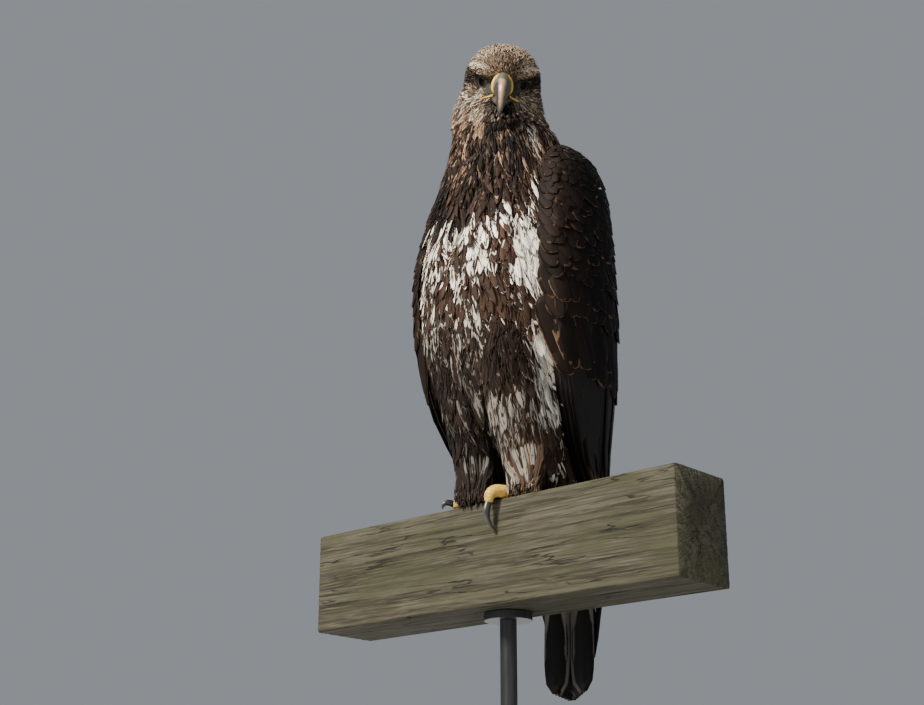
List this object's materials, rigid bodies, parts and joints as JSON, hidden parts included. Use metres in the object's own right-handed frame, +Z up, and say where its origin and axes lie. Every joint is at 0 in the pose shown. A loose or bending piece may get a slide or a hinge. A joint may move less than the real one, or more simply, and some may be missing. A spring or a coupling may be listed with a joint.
{
  "type": "model of a young bald eagle on a perch",
  "caption": "Life-size still model of an immature bald eagle perched upright on a cut length of square timber, head turned and looking down, on a plain display stand.",
  "frame": {"origin": "centre of the stand board's underside, on the floor", "axes": "+Z up; the bird's breast faces -Y and its left side is at +X; the perch timber runs along X"},
  "size_m": [0.5, 0.38, 0.9951],
  "materials": {
    "plumage": "soft brown body feathers mottled with white",
    "head": "short buff and brown head feathers",
    "flight": "smooth near-black brown flight feathers",
    "tail": "smooth dark brown tail feathers with pale mottling",
    "horn": "slate and tan bill horn, semi-gloss",
    "cere": "yellow waxy skin",
    "skin": "yellow scaled skin",
    "claw": "black claw horn, semi-gloss",
    "eye": "wet clear gloss over a dark brown iris",
    "timber": "weathered grey-green sawn timber",
    "stand_board": "satin black lacquered board",
    "stand_steel": "satin black painted steel"
  },
  "bodies": {
    "root": {"trunk": "plumage", "neck": "plumage", "thigh_left": "plumage", "thigh_right": "plumage", "wing_left": "plumage", "wing_right": "plumage", "head": "head", "flight_left": "flight", "flight_right": "flight", "tail": "tail", "bill_upper": "horn", "bill_lower": "horn", "cere": "cere", "eye_left": "eye", "tarsus_left": "skin", "foot_left": "skin", "claw_left_inner": "claw", "claw_left_middle": "claw", "claw_left_outer": "claw", "claw_left_hind": "claw", "eye_right": "eye", "tarsus_right": "skin", "foot_right": "skin", "claw_right_inner": "claw", "claw_right_middle": "claw", "claw_right_outer": "claw", "claw_right_hind": "claw", "perch_beam": "timber", "stand_base": "stand_board", "stand_rod": "stand_steel", "stand_collar_foot": "stand_steel", "stand_collar_top": "stand_steel"}
  },
  "joints": []
}
